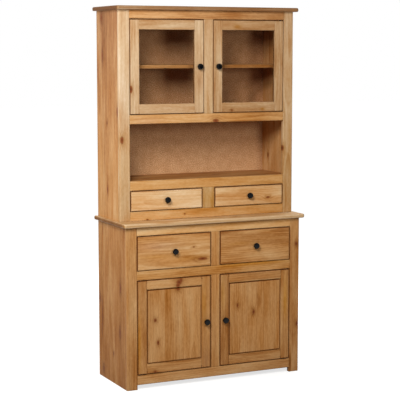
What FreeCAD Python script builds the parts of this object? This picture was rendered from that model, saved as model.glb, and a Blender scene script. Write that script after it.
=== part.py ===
import FreeCAD, Part
import os
import re
import Sketcher

from FreeCAD import Placement, Rotation, Vector

# A two-part pine highboard: a base with two drawers over two panelled doors, and a shallower hutch with
# two glazed doors, an open niche and two small drawers. X runs to the right, the front faces -Y, Z is up.
# The origin lies on the floor, in the middle of the base's top seen from above.

# Driving sizes in millimetres, each with its meaning
SIZES = {
    "body_width": (958, "outside width of base and hutch, without their tops"),
    "base_depth": (376, "front frame to back of the base"),
    "hutch_depth": (296, "front frame to back of the hutch"),
    "base_height": (824, "floor to the upper face of the base's top"),
    "hutch_height": (1046, "base's top to the upper face of the hutch's top"),
    "foot_gap": (24, "free height under the bottom rail"),
    "top_thickness": (20, "both tops"),
    "top_side_overhang": (21, "both tops, past each side"),
    "base_top_overhang": (24, "base's top, past the front frame"),
    "hutch_top_overhang": (26, "hutch's top, past the front frame"),
    "top_edge_round": (7, "rounding of the tops' edges"),
    "top_corner_round": (14, "front corners of the tops, seen from above"),
    "side_thickness": (18, "side boards"),
    "board_thickness": (18, "floors and shelves"),
    "housing_depth": (6, "groove in a side that holds a floor"),
    "back_thickness": (5, "fibreboard backs"),
    "back_rebate": (8, "width of a back's seat in a side"),
    "frame_thickness": (20, "front frames, doors and drawer fronts"),
    "frame_edge_round": (4, "outer front edge of the corner stiles"),
    "corner_stile": (54, "width of the stiles at the corners"),
    "center_stile": (48, "width of the stile between two doors, and between the large drawers"),
    "drawer_stile": (66, "width of the stile between the small drawers"),
    "base_top_rail": (43, "height"),
    "base_mid_rail": (45, "height"),
    "base_bottom_rail": (47, "height"),
    "hutch_top_rail": (42, "height"),
    "cupboard_rail": (45, "height of the rail under the glazed doors"),
    "niche_rail": (47, "height of the rail under the niche"),
    "hutch_bottom_rail": (46, "height"),
    "base_drawer_opening": (173, "height"),
    "hutch_drawer_opening": (104, "height"),
    "niche_height": (278, "open height between its rails"),
    "fit_gap": (3.5, "gap round doors and drawer fronts"),
    "front_edge_round": (2, "eased front edges of doors, panels, drawer fronts and shelves"),
    "tenon_length": (16, "tenons of rails and centre stiles"),
    "tenon_thickness": (8, "the same"),
    "tenon_shoulder": (6, "from a rail's edge to its tenon"),
    "glue_room": (1, "free depth at the end of a tenon or spigot"),
    "door_frame": (48, "width of a door's stiles and rails"),
    "panel_door_head": (45, "height of a panelled door's top rail"),
    "panel_recess": (8, "frame's face to a panel's edge or to a pane"),
    "panel_thickness": (8, "wooden panel at its edge"),
    "panel_groove": (5, "width of the sunk line round a panel's raised field"),
    "field_rise": (6, "raised field, from the panel's edge"),
    "pane_thickness": (4, "glass"),
    "rabbet_depth": (9, "seat of a panel or pane in its frame"),
    "panel_room": (1, "play of a panel or pane at each edge"),
    "knob_diameter": (30, "turned knob"),
    "knob_height": (24, "front face to the knob's crown"),
    "knob_head": (12, "thickness of the knob's head"),
    "knob_crown": (7, "rounding of the head's front rim"),
    "knob_neck": (13, "diameter"),
    "knob_foot": (18, "diameter of the foot ring"),
    "knob_foot_height": (3, "foot ring"),
    "spigot_diameter": (8, "turned stem in the wood"),
    "spigot_length": (14, "the same"),
    "spigot_play": (0.1, "all round the stem"),
    "pivot_inset": (14, "hinge edge of a door to the pivot's axis"),
    "pivot_setback": (8, "front face to the pivot's axis"),
    "pivot_pin": (6, "diameter"),
    "pivot_pin_length": (8, "past the collar"),
    "pivot_clearance": (0.05, "all round the pin in its plate"),
    "pivot_collar": (11, "diameter of the ring that carries the door"),
    "pin_room": (1, "free space round and under the pin in the wood"),
    "plate_length": (40, "hinge plates"),
    "plate_width": (12, "the same"),
    "plate_thickness": (2.5, "the same"),
    "plate_end": (10, "pivot's axis to the plate's near end"),
    "catch_width": (84, "double magnet catch behind a centre stile"),
    "catch_depth": (12, "the same"),
    "catch_height": (14, "the same"),
    "catch_drop": (30, "top of the opening to the catch"),
    "strike_width": (11, "steel strike in a door's back"),
    "strike_thickness": (1.5, "the same"),
    "strike_margin": (2, "door's free edge to its strike"),
    "drawer_side_thickness": (12, "sides and back of a drawer's box"),
    "drawer_lap": (8, "depth of the rebate that a side sits in behind the front"),
    "base_drawer_side": (140, "height of the large drawers' sides"),
    "hutch_drawer_side": (78, "height of the small drawers' sides"),
    "drawer_bottom_thickness": (5, "plywood"),
    "drawer_bottom_lift": (10, "lower edge of a side to the bottom"),
    "drawer_groove": (6, "depth of the bottom's groove"),
    "runner_height": (18, "strip that a drawer slides on"),
    "guide_height": (18, "strip beside a drawer"),
    "runner_play": (1, "drawer to guide, and to the stop behind it"),
    "stop_rail_thickness": (18, "rail behind the drawers"),
    "shelf_play": (2, "loose shelf to sides and back"),
    "shelf_setback": (40, "front frame to a loose shelf"),
    "base_shelf_rise": (232, "base's floor to its shelf"),
    "cupboard_shelf_rise": (223, "cupboard's floor to its shelf"),
    "pin_diameter": (8, "wooden pins under shelves and between base and hutch"),
    "pin_length": (26, "the same"),
    "pin_hold": (12, "length of a pin in a side, or in the base's top"),
    "pin_play": (0.1, "all round a pin in its hole, and under a shelf"),
    "pin_margin": (45, "pins from the ends of what they carry"),
}

# Planes and levels that follow from the sizes
LEVELS = {
    "half_width": "body_width / 2",
    "opening_edge": "half_width - corner_stile",
    "inner_side": "half_width - side_thickness",
    "back": "(base_depth + base_top_overhang) / 2",
    "inner_back": "back - back_thickness",
    "stop_face": "inner_back - stop_rail_thickness",
    "base_front": "back - base_depth",
    "base_frame_back": "base_front + frame_thickness",
    "hutch_front": "back - hutch_depth",
    "hutch_frame_back": "hutch_front + frame_thickness",
    "base_door_sill": "foot_gap + base_bottom_rail",
    "base_top_under": "base_height - top_thickness",
    "base_drawer_head": "base_top_under - base_top_rail",
    "base_drawer_sill": "base_drawer_head - base_drawer_opening",
    "base_door_head": "base_drawer_sill - base_mid_rail",
    "hutch_drawer_sill": "base_height + hutch_bottom_rail",
    "hutch_drawer_head": "hutch_drawer_sill + hutch_drawer_opening",
    "niche_sill": "hutch_drawer_head + niche_rail",
    "niche_head": "niche_sill + niche_height",
    "hutch_door_sill": "niche_head + cupboard_rail",
    "hutch_top_under": "base_height + hutch_height - top_thickness",
    "hutch_door_head": "hutch_top_under - hutch_top_rail",
    "base_shelf_level": "base_door_sill + base_shelf_rise",
    "cupboard_shelf_level": "hutch_door_sill + cupboard_shelf_rise",
    "door_width": "opening_edge - center_stile / 2 - 2 * fit_gap",
    "pane_width": "door_width - 2 * door_frame",
    "mortise_depth": "tenon_length + glue_room",
    "tenon_inset": "(frame_thickness - tenon_thickness) / 2",
    "spigot_hole": "spigot_diameter + 2 * spigot_play",
    "pin_hole": "pin_diameter + 2 * pin_play",
    "pin_reach": "pin_length - pin_hold",
}

TOUCH = 1e-4
SIDES = ("left", "right")
FACES = {
    "left": ("X", "Min"),
    "right": ("X", "Max"),
    "front": ("Y", "Min"),
    "back": ("Y", "Max"),
    "bottom": ("Z", "Min"),
    "top": ("Z", "Max"),
}
# Turns that lay a cylinder's own axis along a row axis
TURNS = {
    "x": Rotation(Vector(0, 1, 0), 90),
    "y": Rotation(Vector(1, 0, 0), -90),
    "z": Rotation(),
}

doc = FreeCAD.newDocument("highboard")
sheet = doc.addObject("Spreadsheet::Sheet", "sizes")
for row, (alias, (number, meaning)) in enumerate(SIZES.items(), start=1):
    sheet.set(f"A{row}", f"{alias}: {meaning}")
    sheet.set(f"B{row}", str(number))
    sheet.setAlias(f"B{row}", alias)
doc.recompute()
subparts = []


# Formulas and small building steps

def formula(text):
    """A formula with plain names, written with the sheet's cells."""
    def spell(match):
        name = match.group(0)
        if name in SIZES:
            return f"sizes.{name}"
        return f"({formula(LEVELS[name])})"
    return re.sub(r"[a-z]\w*", spell, text)


def bind(thing, **formulas):
    """Ties properties to formulas; x, y and z are the place."""
    for name, text in formulas.items():
        path = f"Placement.Base.{name}" if name in ("x", "y", "z") else name
        thing.setExpression(path, formula(text))


def place(thing, at):
    bind(thing, x=at[0], y=at[1], z=at[2])


def subpart(thing):
    subparts.append(thing)
    return thing


def group(label, members):
    """Separate solids that share one node."""
    whole = doc.addObject("Part::Compound", label)
    whole.Links = members
    return subpart(whole)


def outline(body, name, role, points):
    """A closed outline of straight lines on one of the body's own planes, every corner tied to formulas."""
    sketch = body.newObject("Sketcher::SketchObject", name)
    own_plane = next(feature for feature in body.Origin.OriginFeatures if feature.Role == role)
    sketch.AttachmentSupport = [(own_plane, "")]
    sketch.MapMode = "FlatFace"
    count = len(points)
    starts = [Rotation(Vector(0, 0, 1), 360 * k / count).multVec(Vector(10, 0, 0)) for k in range(count)]
    for k in range(count):
        sketch.addGeometry(Part.LineSegment(starts[k], starts[(k + 1) % count]), False)
    for k in range(count):
        sketch.addConstraint(Sketcher.Constraint("Coincident", k, 2, (k + 1) % count, 1))
    for k, corner in enumerate(points):
        for kind, start, text in zip(("DistanceX", "DistanceY"), starts[k], corner):
            tie = sketch.addConstraint(Sketcher.Constraint(kind, -1, 1, k, 1, start))
            sketch.setExpression(f"Constraints[{tie}]", formula(text))
    return sketch


def board(label, size, at):
    """A board from its low corner: length along X, width along Y, height along Z."""
    length, width, height = size
    body = doc.addObject("PartDesign::Body", label)
    corners = [("0", "0"), (length, "0"), (length, width), ("0", width)]
    pad = body.newObject("PartDesign::Pad", f"{label}_pad")
    pad.Profile = outline(body, f"{label}_outline", "XY_Plane", corners)
    bind(pad, Length=height)
    place(body, at)
    doc.recompute()
    return body


def block(body, kind, name, size, at):
    feature = body.newObject(f"PartDesign::{kind}Box", f"{body.Name}_{name}")
    bind(feature, Length=size[0], Width=size[1], Height=size[2])
    place(feature, at)


def cut(body, name, size, at):
    """A mortise, groove, rebate or recess."""
    block(body, "Subtractive", name, size, at)


def add(body, name, size, at):
    """A tenon or raised field."""
    block(body, "Additive", name, size, at)


def drum(body, kind, name, diameter, length, at, axis):
    feature = body.newObject(f"PartDesign::{kind}Cylinder", f"{body.Name}_{name}")
    feature.Placement = Placement(Vector(), TURNS[axis])
    bind(feature, Radius=f"({diameter}) / 2", Height=length)
    place(feature, at)


def bore(body, name, diameter, depth, at, axis):
    drum(body, "Subtractive", name, diameter, depth, at, axis)


def lies_on(edge, whole, face):
    """True where an edge lies in one of the six planes of the whole shape's box."""
    axis, end = FACES[face]
    level = getattr(whole.BoundBox, axis + end)
    low = getattr(edge.BoundBox, axis + "Min")
    high = getattr(edge.BoundBox, axis + "Max")
    return abs(low - level) < TOUCH and abs(high - level) < TOUCH


def soften(body, radius, wanted):
    """Rounds the edges that wanted(edge, shape) picks."""
    doc.recompute()
    last = body.Tip
    names = [f"Edge{n}" for n, edge in enumerate(last.Shape.Edges, start=1) if wanted(edge, last.Shape)]
    fillet = body.newObject("PartDesign::Fillet", f"{body.Name}_soft")
    fillet.Base = (last, names)
    bind(fillet, Radius=radius)
    doc.recompute()


def soften_between(body, radius, *pairs):
    """Rounds the edges between pairs of a board's faces, such as front left."""
    def wanted(edge, whole):
        return any(all(lies_on(edge, whole, face) for face in pair.split()) for pair in pairs)
    soften(body, radius, wanted)


def from_side(side, inset, width):
    """Low X of a piece of that width, an inset away from the body's left or right outer face."""
    if side == "left":
        return f"{inset} - half_width"
    return f"half_width - ({inset}) - ({width})"


def at_end(side, length, width):
    """Low X, in a piece of that length, of something that ends at its left or right end."""
    return "0" if side == "left" else f"{length} - ({width})"


# The carcases

def top(label, overhang, depth, level):
    """A top with a rounded rim at the front and the sides, square at the back."""
    size = ("body_width + 2 * top_side_overhang", f"{depth} + {overhang}", "top_thickness")
    body = board(label, size, ("-half_width - top_side_overhang", f"back - {depth} - {overhang}", level))
    soften_between(body, "top_corner_round", "front left", "front right")

    def rim(edge, whole):
        return (lies_on(edge, whole, "top") or lies_on(edge, whole, "bottom")) and not lies_on(edge, whole, "back")
    soften(body, "top_edge_round", rim)
    return subpart(body)


def side_board(label, side, depth, height, level, back_from, floors, shelf):
    """A side with its rebate for the back, a groove for each floor and two holes for a shelf's pins."""
    run = f"({depth} - frame_thickness)"
    size = ("side_thickness", run, height)
    front = f"back - {depth} + frame_thickness"
    body = board(label, size, (from_side(side, "0", "side_thickness"), front, level))
    inward = "right" if side == "left" else "left"
    rebate = ("back_rebate", "back_thickness", f"{height} - ({back_from})")
    cut(body, "rebate", rebate, (at_end(inward, "side_thickness", "back_rebate"), f"{run} - back_thickness", back_from))
    for number, floor in enumerate(floors):
        groove = ("housing_depth", f"{run} - back_thickness", "board_thickness")
        low = f"{floor} - board_thickness - ({level})"
        cut(body, f"housing{number}", groove, (at_end(inward, "side_thickness", "housing_depth"), "0", low))
    for number, away in enumerate(pin_rows("0", run)):
        hole = (at_end(inward, "side_thickness", "pin_hold"), away, f"{pin_axis(shelf)} - ({level})")
        bore(body, f"pin_hole{number}", "pin_hole", "pin_hold", hole, "x")
    return body


def pin_axis(shelf):
    """Height of the pins that carry a shelf."""
    return f"{shelf} - pin_diameter / 2 - pin_play"


def pin_rows(front, run):
    """Places of the front and rear pins on a side, behind its front edge."""
    return (f"{front} + shelf_setback + pin_margin", f"{front} + {run} - back_thickness - pin_margin")


def dowel_spots(run):
    """Places of the two pins under a side of the hutch, behind its front edge."""
    return ("pin_margin", f"{run} - pin_margin")


def mortises(body, side, width, rails, level):
    """Seats for the rails' tenons along the inner edge of a stile."""
    inward = "right" if side == "left" else "left"
    for number, (low, height) in enumerate(rails):
        size = ("mortise_depth", "tenon_thickness", f"{height} - 2 * tenon_shoulder")
        spot = (at_end(inward, width, "mortise_depth"), "tenon_inset", f"{low} + tenon_shoulder - ({level})")
        cut(body, f"mortise{number}", size, spot)


def corner_stile(label, side, front, level, height, rails):
    size = ("corner_stile", "frame_thickness", height)
    body = board(label, size, (from_side(side, "0", "corner_stile"), front, level))
    soften_between(body, "frame_edge_round", f"front {side}")
    mortises(body, side, "corner_stile", rails, level)
    return body


def center_stile(label, width, front, sill, head):
    """A short stile between two rails, with a tenon at each end."""
    height = f"({head} - ({sill}))"
    body = board(label, (width, "frame_thickness", height), (f"-{width} / 2", front, sill))
    tenon = (f"{width} - 2 * tenon_shoulder", "tenon_thickness", "tenon_length")
    add(body, "low_tenon", tenon, ("tenon_shoulder", "tenon_inset", "-tenon_length"))
    add(body, "high_tenon", tenon, ("tenon_shoulder", "tenon_inset", height))
    return body


def rail(label, front, low, height, above=None, below=None, pivots=None):
    """A rail between the corner stiles; above and below name the centre stile that meets it there."""
    run = "(2 * opening_edge)"
    body = board(label, (run, "frame_thickness", height), ("-opening_edge", front, low))
    tenon = ("tenon_length", "tenon_thickness", f"{height} - 2 * tenon_shoulder")
    add(body, "left_tenon", tenon, ("-tenon_length", "tenon_inset", "tenon_shoulder"))
    add(body, "right_tenon", tenon, (run, "tenon_inset", "tenon_shoulder"))
    for name, width, level in (("above", above, f"{height} - mortise_depth"), ("below", below, "0")):
        if width:
            size = (f"{width} - 2 * tenon_shoulder", "tenon_thickness", "mortise_depth")
            cut(body, f"mortise_{name}", size, (f"opening_edge - {width} / 2 + tenon_shoulder", "tenon_inset", level))
    if pivots:
        level = "0" if pivots == "under" else f"{height} - plate_thickness"
        for side in SIDES:
            near = "fit_gap + pivot_inset - plate_end"
            spot = near if side == "left" else f"{run} - ({near}) - plate_length"
            size = ("plate_length", "plate_width", "plate_thickness")
            cut(body, f"{side}_plate_seat", size, (spot, "pivot_setback - plate_width / 2", level))
    return body


def floor(label, depth, level):
    """A fixed floor, held in the sides' grooves, with its upper face at the level."""
    size = ("2 * (inner_side + housing_depth)", f"{depth} - frame_thickness - back_thickness", "board_thickness")
    at = ("-inner_side - housing_depth", f"back - {depth} + frame_thickness", f"{level} - board_thickness")
    return subpart(board(label, size, at))


def shelf(label, depth, level):
    """A loose shelf on four pins."""
    run = f"{depth} - frame_thickness - back_thickness - shelf_setback - shelf_play"
    size = ("2 * (inner_side - shelf_play)", run, "board_thickness")
    at = ("shelf_play - inner_side", f"back - {depth} + frame_thickness + shelf_setback", level)
    body = board(label, size, at)
    soften_between(body, "front_edge_round", "front top", "front bottom")
    return subpart(body)


def back_panel(label, low, high):
    size = ("2 * (inner_side + back_rebate)", "back_thickness", f"{high} - ({low})")
    return subpart(board(label, size, ("-inner_side - back_rebate", "inner_back", low)))


def runners(label, frame_back, sill, inner):
    """Strips under and beside two drawers, and the rail behind that stops them."""
    level = f"{sill} + fit_gap"
    run = f"stop_face - ({frame_back})"
    box_edge = "(opening_edge - fit_gap)"
    box_inner = f"({inner} + fit_gap)"
    strips = []
    for side in SIDES:
        runner = f"inner_side - {box_edge} + drawer_side_thickness"
        guide = f"inner_side - {box_edge} - runner_play"
        for kind, width, low, height in (
            ("runner", runner, f"{level} - runner_height", "runner_height"),
            ("guide", guide, level, "guide_height"),
        ):
            spot = (from_side(side, "side_thickness", width), frame_back, low)
            strips.append(board(f"{label}_{side}_{kind}", (width, run, height), spot))
    middle = f"2 * ({box_inner} + drawer_side_thickness)"
    spot = (f"-({middle}) / 2", frame_back, f"{level} - runner_height")
    strips.append(board(f"{label}_center_runner", (middle, run, "runner_height"), spot))
    middle = f"2 * ({box_inner} - runner_play)"
    strips.append(board(f"{label}_center_guide", (middle, run, "guide_height"), (f"-({middle}) / 2", frame_back, level)))
    size = ("2 * inner_side", "stop_rail_thickness", "runner_height + guide_height")
    strips.append(board(f"{label}_stop_rail", size, ("-inner_side", "stop_face", f"{level} - runner_height")))
    group(label, strips)


def wooden_pins():
    """Pins under the two shelves, and upright ones between base and hutch."""
    pins = []

    def pin(name, at, axis):
        peg = doc.addObject("Part::Cylinder", name)
        peg.Placement = Placement(Vector(), TURNS[axis])
        bind(peg, Radius="pin_diameter / 2", Height="pin_length")
        place(peg, at)
        pins.append(peg)

    for where, depth, level in (
        ("base", "base_depth", "base_shelf_level"),
        ("cupboard", "hutch_depth", "cupboard_shelf_level"),
    ):
        front = f"back - {depth} + frame_thickness"
        rows = pin_rows(front, f"({depth} - frame_thickness)")
        for side in SIDES:
            for number, row in enumerate(rows):
                spot = from_side(side, "side_thickness - pin_hold", "pin_length")
                pin(f"{where}_{side}_pin{number}", (spot, row, pin_axis(level)), "x")
    for side in SIDES:
        middle = from_side(side, "side_thickness / 2", "0")
        for number, spot in enumerate(dowel_spots("(hutch_depth - frame_thickness)")):
            pin(f"{side}_dowel{number}", (middle, f"hutch_frame_back + {spot}", "base_height - pin_hold"), "z")
    group("wooden_pins", pins)


def base():
    body = top("base_top", "base_top_overhang", "base_depth", "base_top_under")
    for side in SIDES:
        for number, spot in enumerate(dowel_spots("(hutch_depth - frame_thickness)")):
            across = from_side(side, "side_thickness / 2", "0")
            along = f"base_depth + base_top_overhang - hutch_depth + frame_thickness + {spot}"
            at = (f"half_width + top_side_overhang + {across}", along, "top_thickness - pin_hold")
            bore(body, f"{side}_dowel_hole{number}", "pin_hole", "pin_hold", at, "z")
    for side in SIDES:
        subpart(side_board(f"base_{side}_side", side, "base_depth", "base_top_under", "0", "foot_gap",
                           ("base_door_sill",), "base_shelf_level"))
    rows = (
        ("foot_gap", "base_bottom_rail"),
        ("base_door_head", "base_mid_rail"),
        ("base_drawer_head", "base_top_rail"),
    )
    corners = [corner_stile(f"base_{side}_stile", side, "base_front", "0", "base_top_under", rows) for side in SIDES]
    group("base_stiles", corners + [
        center_stile("base_door_stile", "center_stile", "base_front", "base_door_sill", "base_door_head"),
        center_stile("base_drawer_stile", "center_stile", "base_front", "base_drawer_sill", "base_drawer_head"),
    ])
    group("base_rails", [
        rail("base_low_rail", "base_front", *rows[0], above="center_stile", pivots="over"),
        rail("base_middle_rail", "base_front", *rows[1], above="center_stile", below="center_stile", pivots="under"),
        rail("base_high_rail", "base_front", *rows[2], below="center_stile"),
    ])
    floor("base_floor", "base_depth", "base_door_sill")
    shelf("base_shelf", "base_depth", "base_shelf_level")
    back_panel("base_back", "foot_gap", "base_top_under")
    runners("base_drawer_runners", "base_frame_back", "base_drawer_sill", "center_stile / 2")


def hutch():
    height = "(hutch_height - top_thickness)"
    top("hutch_top", "hutch_top_overhang", "hutch_depth", "hutch_top_under")
    floors = ("niche_sill", "hutch_door_sill")
    for side in SIDES:
        body = side_board(f"hutch_{side}_side", side, "hutch_depth", height, "base_height", "0",
                          floors, "cupboard_shelf_level")
        for number, spot in enumerate(dowel_spots("(hutch_depth - frame_thickness)")):
            bore(body, f"dowel_hole{number}", "pin_hole", "pin_reach", ("side_thickness / 2", spot, "0"), "z")
        subpart(body)
    rows = (
        ("base_height", "hutch_bottom_rail"),
        ("hutch_drawer_head", "niche_rail"),
        ("niche_head", "cupboard_rail"),
        ("hutch_door_head", "hutch_top_rail"),
    )
    corners = [corner_stile(f"hutch_{side}_stile", side, "hutch_front", "base_height", height, rows) for side in SIDES]
    group("hutch_stiles", corners + [
        center_stile("hutch_drawer_stile", "drawer_stile", "hutch_front", "hutch_drawer_sill", "hutch_drawer_head"),
        center_stile("hutch_door_stile", "center_stile", "hutch_front", "hutch_door_sill", "hutch_door_head"),
    ])
    group("hutch_rails", [
        rail("hutch_low_rail", "hutch_front", *rows[0], above="drawer_stile"),
        rail("hutch_niche_rail", "hutch_front", *rows[1], below="drawer_stile"),
        rail("hutch_cupboard_rail", "hutch_front", *rows[2], above="center_stile", pivots="over"),
        rail("hutch_high_rail", "hutch_front", *rows[3], below="center_stile", pivots="under"),
    ])
    floor("niche_floor", "hutch_depth", floors[0])
    floor("cupboard_floor", "hutch_depth", floors[1])
    shelf("cupboard_shelf", "hutch_depth", "cupboard_shelf_level")
    back_panel("hutch_back", "base_height", "hutch_top_under")
    runners("hutch_drawer_runners", "hutch_frame_back", "hutch_drawer_sill", "drawer_stile / 2")


# Doors

def pivot_spot(side):
    """X of a door's turning axis."""
    return from_side(side, "corner_stile + fit_gap + pivot_inset", "0")


def door_pivots(rows):
    """A plate let into the rail over or under each door's corner, with the collar and pin that it turns on."""
    pivots = []
    for door, side, front, sill, head in rows:
        for end, level in (("low", sill), ("high", head)):
            label = f"{door}_{end}_pivot"
            near = from_side(side, "corner_stile + fit_gap + pivot_inset - plate_end", "plate_length")
            below = "plate_thickness" if end == "low" else "0"
            low = f"{level} - {below}"
            size = ("plate_length", "plate_width", "plate_thickness")
            body = board(label, size, (near, f"{front} + pivot_setback - plate_width / 2", low))
            across = f"{pivot_spot(side)} - ({near})"
            middle = "plate_width / 2"
            reach = "fit_gap + pivot_pin_length"
            collar_low = "plate_thickness" if end == "low" else "-fit_gap"
            pin_low = "plate_thickness" if end == "low" else f"-({reach})"
            drum(body, "Additive", "collar", "pivot_collar", "fit_gap", (across, middle, collar_low), "z")
            drum(body, "Additive", "pin", "pivot_pin", reach, (across, middle, pin_low), "z")
            pivots.append(body)
    group("door_pivots", pivots)


def door_catches(rows):
    """A double magnet catch behind each centre stile, where the two doors close against it."""
    size = ("catch_width", "catch_depth", "catch_height")
    group("door_catches", [
        board(label, size, ("-catch_width / 2", frame_back, f"{head} - catch_drop - catch_height"))
        for label, frame_back, head in rows
    ])


def turned_knob(label, at):
    """A black turned knob on its stem; the axis runs along Y and the crown faces the front."""
    body = doc.addObject("PartDesign::Body", label)
    head_back = "knob_head - knob_height"
    profile = [
        ("0", "spigot_length"),
        ("spigot_diameter / 2", "spigot_length"),
        ("spigot_diameter / 2", "0"),
        ("knob_foot / 2", "0"),
        ("knob_foot / 2", "-knob_foot_height"),
        ("knob_neck / 2", "-knob_foot_height"),
        ("knob_neck / 2", head_back),
        ("knob_diameter / 2", head_back),
        ("knob_diameter / 2", "-knob_height"),
        ("0", "-knob_height"),
    ]
    sketch = outline(body, f"{label}_profile", "XY_Plane", profile)
    turn = body.newObject("PartDesign::Revolution", f"{label}_turning")
    turn.Profile = sketch
    turn.ReferenceAxis = (sketch, ["V_Axis"])
    turn.Angle = 360

    def crown(edge, whole):
        return lies_on(edge, whole, "front") and edge.Closed
    soften(body, "knob_crown", crown)
    place(body, at)
    return subpart(body)


def door_stile(label, end, hinge, at, height, foot, head, seat, catch):
    """A door's stile at its left or right end, with the seat of the panel or pane and the two mortises."""
    body = board(label, ("door_frame", "frame_thickness", height), at)
    soften_between(body, "front_edge_round", f"front {end}", "front top", "front bottom")
    inward = "right" if end == "left" else "left"
    seat_run = f"{height} - {foot} - {head} + 2 * rabbet_depth"
    cut(body, "seat", ("rabbet_depth", seat, seat_run),
        (at_end(inward, "door_frame", "rabbet_depth"), "panel_recess", f"{foot} - rabbet_depth"))
    for name, low, rail_height in (
        ("low", "tenon_shoulder", foot),
        ("high", f"{height} - {head} + rabbet_depth", head),
    ):
        size = ("mortise_depth", "tenon_thickness", f"{rail_height} - rabbet_depth - tenon_shoulder")
        cut(body, f"{name}_mortise", size, (at_end(inward, "door_frame", "mortise_depth"), "panel_recess", low))
    if end == hinge:
        axis = "pivot_inset" if end == "left" else "door_frame - pivot_inset"
        near = "pivot_inset - plate_end"
        spot = near if end == "left" else f"door_frame - ({near}) - plate_length"
        depth = "pivot_pin_length + pin_room"
        for name, plate_low, hole_low in (
            ("low", "0", "0"),
            ("high", f"{height} - plate_thickness", f"{height} - ({depth})"),
        ):
            size = ("plate_length", "plate_width", "plate_thickness")
            cut(body, f"{name}_plate_seat", size, (spot, "pivot_setback - plate_width / 2", plate_low))
            bore(body, f"{name}_pin_hole", "pivot_pin + 2 * pin_room", depth, (axis, "pivot_setback", hole_low), "z")
    else:
        bore(body, "knob_hole", "spigot_hole", "spigot_length + glue_room", ("door_frame / 2", "0", f"{height} / 2"), "y")
        size = ("strike_width", "strike_thickness", "catch_height")
        spot = "strike_margin" if end == "left" else "door_frame - strike_margin - strike_width"
        cut(body, "strike_seat", size, (spot, "frame_thickness - strike_thickness", f"{catch} - ({at[2]})"))
    return body


def door_rail(label, end, at, height, seat):
    """A door's top or bottom rail, with its tenons and the seat of the panel or pane."""
    body = board(label, ("pane_width", "frame_thickness", height), at)
    soften_between(body, "front_edge_round", f"front {end}")
    low = "tenon_shoulder" if end == "bottom" else "rabbet_depth"
    tenon = ("tenon_length", "tenon_thickness", f"{height} - rabbet_depth - tenon_shoulder")
    add(body, "left_tenon", tenon, ("-tenon_length", "panel_recess", low))
    add(body, "right_tenon", tenon, ("pane_width", "panel_recess", low))
    level = f"{height} - rabbet_depth" if end == "bottom" else "0"
    cut(body, "seat", ("pane_width", seat, "rabbet_depth"), ("0", "panel_recess", level))
    return body


def glazing_beads(label, x, y, z, height):
    """Four strips that hold the pane in its rebate from behind."""
    thickness = "frame_thickness - panel_recess - pane_thickness"
    across = ("pane_width", thickness, "rabbet_depth")
    upright = ("rabbet_depth", thickness, f"{height} + 2 * rabbet_depth")
    group(label, [
        board(f"{label}_left", upright, (f"{x} - rabbet_depth", y, f"{z} - rabbet_depth")),
        board(f"{label}_right", upright, (f"{x} + pane_width", y, f"{z} - rabbet_depth")),
        board(f"{label}_low", across, (x, y, f"{z} - rabbet_depth")),
        board(f"{label}_high", across, (x, y, f"{z} + {height}")),
    ])


def door_fittings(label, side, front, low, high, free_edge, catch):
    """Steel plates that turn on the pivots, and the strike that meets the catch."""
    plates = []
    near = from_side(side, "corner_stile + fit_gap + pivot_inset - plate_end", "plate_length")
    size = ("plate_length", "plate_width", "plate_thickness")
    for name, level in (("low", low), ("high", f"{high} - plate_thickness")):
        body = board(f"{label}_{name}", size, (near, f"{front} + pivot_setback - plate_width / 2", level))
        spot = (f"{pivot_spot(side)} - ({near})", "plate_width / 2", "0")
        bore(body, "eye", "pivot_pin + 2 * pivot_clearance", "plate_thickness", spot, "z")
        plates.append(body)
    spot = f"{free_edge} - strike_margin - strike_width" if side == "left" else f"{free_edge} + strike_margin"
    size = ("strike_width", "strike_thickness", "catch_height")
    plates.append(board(f"{label}_strike", size, (spot, f"{front} + frame_thickness - strike_thickness", catch)))
    group(label, plates)


def door(name, side, front, sill, head, glazed):
    """A framed door, hinged at its outer side."""
    low = f"({sill} + fit_gap)"
    high = f"({head} - fit_gap)"
    height = f"({head} - ({sill}) - 2 * fit_gap)"
    left = from_side(side, "corner_stile + fit_gap", "door_width")
    catch = f"{head} - catch_drop - catch_height"
    foot = "door_frame"
    crest = "door_frame" if glazed else "panel_door_head"
    seat = "frame_thickness - panel_recess" if glazed else "panel_thickness"
    stiles = []
    for end, x in (("left", left), ("right", f"{left} + door_width - door_frame")):
        stiles.append(door_stile(f"{name}_{end}_stile", end, side, (x, front, low), height, foot, crest, seat, catch))
    group(f"{name}_stiles", stiles)
    inside = f"{left} + door_frame"
    group(f"{name}_rails", [
        door_rail(f"{name}_low_rail", "bottom", (inside, front, low), foot, seat),
        door_rail(f"{name}_high_rail", "top", (inside, front, f"{high} - {crest}"), crest, seat),
    ])
    reach = "(rabbet_depth - panel_room)"
    open_height = f"({height} - {foot} - {crest})"
    thickness = "pane_thickness" if glazed else "panel_thickness"
    size = (f"pane_width + 2 * {reach}", thickness, f"{open_height} + 2 * {reach}")
    at = (f"{inside} - {reach}", f"{front} + panel_recess", f"{low} + {foot} - {reach}")
    infill = subpart(board(f"{name}_{'pane' if glazed else 'panel'}", size, at))
    if glazed:
        behind = f"{front} + panel_recess + pane_thickness"
        glazing_beads(f"{name}_beads", inside, behind, f"{low} + {foot}", open_height)
    else:
        edge = f"{reach} + panel_groove"
        field = ("pane_width - 2 * panel_groove", "field_rise", f"{open_height} - 2 * panel_groove")
        add(infill, "field", field, (edge, "-field_rise", edge))
        soften_between(infill, "front_edge_round", "front")
    free_edge = f"{left} + door_width" if side == "left" else left
    knob_spot = f"{free_edge} - door_frame / 2" if side == "left" else f"{free_edge} + door_frame / 2"
    turned_knob(f"{name}_knob", (knob_spot, front, f"{low} + {height} / 2"))
    door_fittings(f"{name}_fittings", side, front, low, high, free_edge, catch)


# Drawers

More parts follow.
